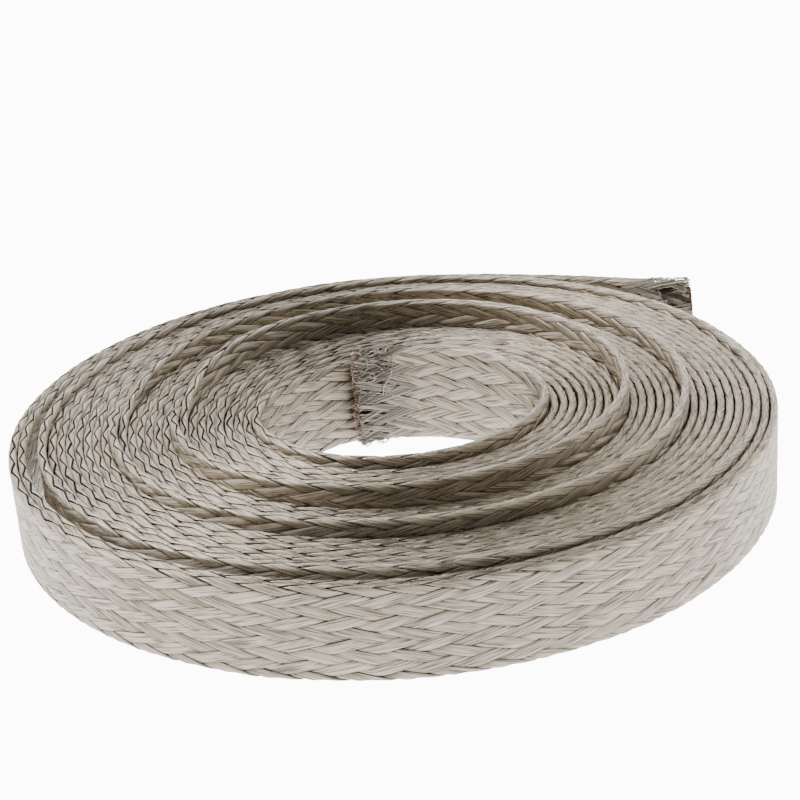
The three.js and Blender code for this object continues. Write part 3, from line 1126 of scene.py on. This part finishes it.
def mouth_stop(inner, around):
    """The near wall ends before the cut, earlier at its top."""
    if not inner:
        return FAR_WALL_STOP
    return NEAR_WALL_BACK + NEAR_WALL_SLANT * max(0.0, around - NEAR_WALL_KNEE)


def mouth_push(inner, around, freedom):
    """The wires at the top of the far wall stand up a little."""
    height = 0 if inner else (2 * STRAP_WIDTH - around) / STRAP_WIDTH
    rise = TOP_RISE * rng.uniform(0, 1) * height ** 6
    return rng.uniform(-1, 1) * MOUTH_SPREAD * freedom ** 2, rise * smooth(freedom, *RISE_SPAN)


def stray_wire():
    """One light wire that spans the mouth."""
    share = np.linspace(0, 1, STRAY_STEPS)
    plan, out, *_ = at(outer_along((9.5 - 3.4 * share) * MM))
    plan = plan + out * ((0.2 - 3.6 * share) * MM)[:, None]
    return np.column_stack([plan, (19.4 - 4.4 * share) * MM])


def far_wall_painted_shade_sheet():
    """A thin closed sheet inside the far wall, coloured with painted shade."""
    rings = []
    for distance in np.linspace(SHADE_SHEET_START, SHADE_SHEET_LENGTH, SHADE_SHEET_ROWS):
        corners = []
        levels = np.linspace(SHADE_SHEET_FOOT, SHADE_SHEET_TOP, SHADE_SHEET_COLUMNS)
        for sink, heights in ((MIDDLE_SINK, levels), (MIDDLE_SINK + SHADE_SHEET_THICKNESS, levels[::-1])):
            along = np.full(len(heights), outer_along(distance))
            corners += on_strap(along, 2 * STRAP_WIDTH - heights, sink, 0, 0).tolist()
        rings.append(corners)
    # Painted shade: the sheet takes the dark material of the strands underneath.
    return plain_piece("far_wall_painted_shade_sheet", *closed_tube(rings), painted_shade_material)


mouth = strand_wires(outer_along, mouth_stop, mouth_push)
outer_wires = wires_piece("open_outer_end", mouth + [stray_wire()])
shade_sheet = far_wall_painted_shade_sheet()


# %% [markdown]
# ## Floor and light
# A pale floor fills the picture. Polished metal shows what is round it, so a glowing floor and a
# glowing sky do most of the work: the outer face mirrors them and turns bright, and a face that
# looks at other turns stays dark. The camera itself sees both as plain white. The sky is bright
# behind the roll and dark towards the camera, and one soft square light shines from above, on the
# left and a little behind.

# %% Floor and light
FLOOR_DROP = 0.05 * MM
FLOOR_SIZE = 6.0
SEEN_GLOW = 12.0
FLOOR_GLOW = 2.6
SKY_LOW = 2.15
SKY_HIGH = 1.05
SKY_LEAN = -0.25
SKY_FRONT = 0.05
SKY_TURN = (-0.6, 0.5)
OVERHEAD_PLACE = (-0.5, 0.3, 1.0)
OVERHEAD_SIZE = 0.5
OVERHEAD_POWER = 8


def glow(tree, strength):
    """A glow of some strength, which the camera itself sees as plain white."""
    seen = add(tree, "ShaderNodeLightPath").outputs["Is Camera Ray"]
    strength = add(tree, "ShaderNodeMix", {"data_type": "FLOAT"}, in0=seen, in2=strength,
                   in3=SEEN_GLOW)
    return strength.outputs[0]


def make_floor():
    """A large glowing square just under the roll."""
    half = FLOOR_SIZE / 2
    corners = [(-half, -half), (half, -half), (half, half), (-half, half)]
    material, tree = new_material("pale_floor")
    shader = add(tree, "ShaderNodeEmission", None, Color=linear("#FFFFFF"),
                 Strength=glow(tree, FLOOR_GLOW))
    add(tree, "ShaderNodeOutputMaterial", None, Surface=shader.outputs[0])
    points = [(x, y, strap_low[2] - FLOOR_DROP) for x, y in corners]
    floor = plain_piece("floor", points, [(0, 1, 2, 3)], material)
    floor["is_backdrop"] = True


def soft_light(name, place, size, power):
    """A square light that looks at the roll."""
    data = bpy.data.lights.new(name, "AREA")
    data.size = size
    data.energy = power
    light = bpy.data.objects.new(name, data)
    light.location = place
    light.rotation_euler = (-Vector(place)).to_track_quat("-Z", "Y").to_euler()
    bpy.context.scene.collection.objects.link(light)


def make_sky():
    """A sky that is brighter low down, behind and on the left, and dark towards the camera."""
    world = bpy.data.worlds.new("studio")
    world.use_nodes = True
    tree = world.node_tree
    tree.nodes.clear()
    direction = add(tree, "ShaderNodeTexCoord").outputs["Generated"]
    axes = add(tree, "ShaderNodeSeparateXYZ", None, Vector=direction).outputs
    level = even_range(tree, axes[2], (0.0, 1.0), SKY_LOW, SKY_HIGH)
    level = times_plus(tree, axes[0], SKY_LEAN, level)
    level = times(tree, level, smooth_range(tree, axes[1], SKY_TURN, SKY_FRONT, 1.0))
    sky = add(tree, "ShaderNodeBackground", None, Color=linear("#FFFFFF"), Strength=glow(tree, level))
    add(tree, "ShaderNodeOutputWorld", None, Surface=sky.outputs[0])
    bpy.context.scene.world = world


make_floor()
soft_light("overhead", OVERHEAD_PLACE, OVERHEAD_SIZE, OVERHEAD_POWER)
make_sky()
print("floor and lights are in")


# %% [markdown]
# ## Joining the frame
# Every piece moves with the one body of the model, and together they stand for its solid.

# %% Join the frame
for piece in [*woven, ribbon, inner_wires, outer_wires, shade_sheet]:
    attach(piece, "root")
    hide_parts("braided_strap")

scene_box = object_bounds()
sizes = {"cad": [list(map(float, corner)) for corner in cad_box],
         "scene": [list(map(float, corner)) for corner in scene_box]}
for key, value in sizes.items():
    print(key, "box in mm:", np.round(np.array(value) / MM, 2).tolist())
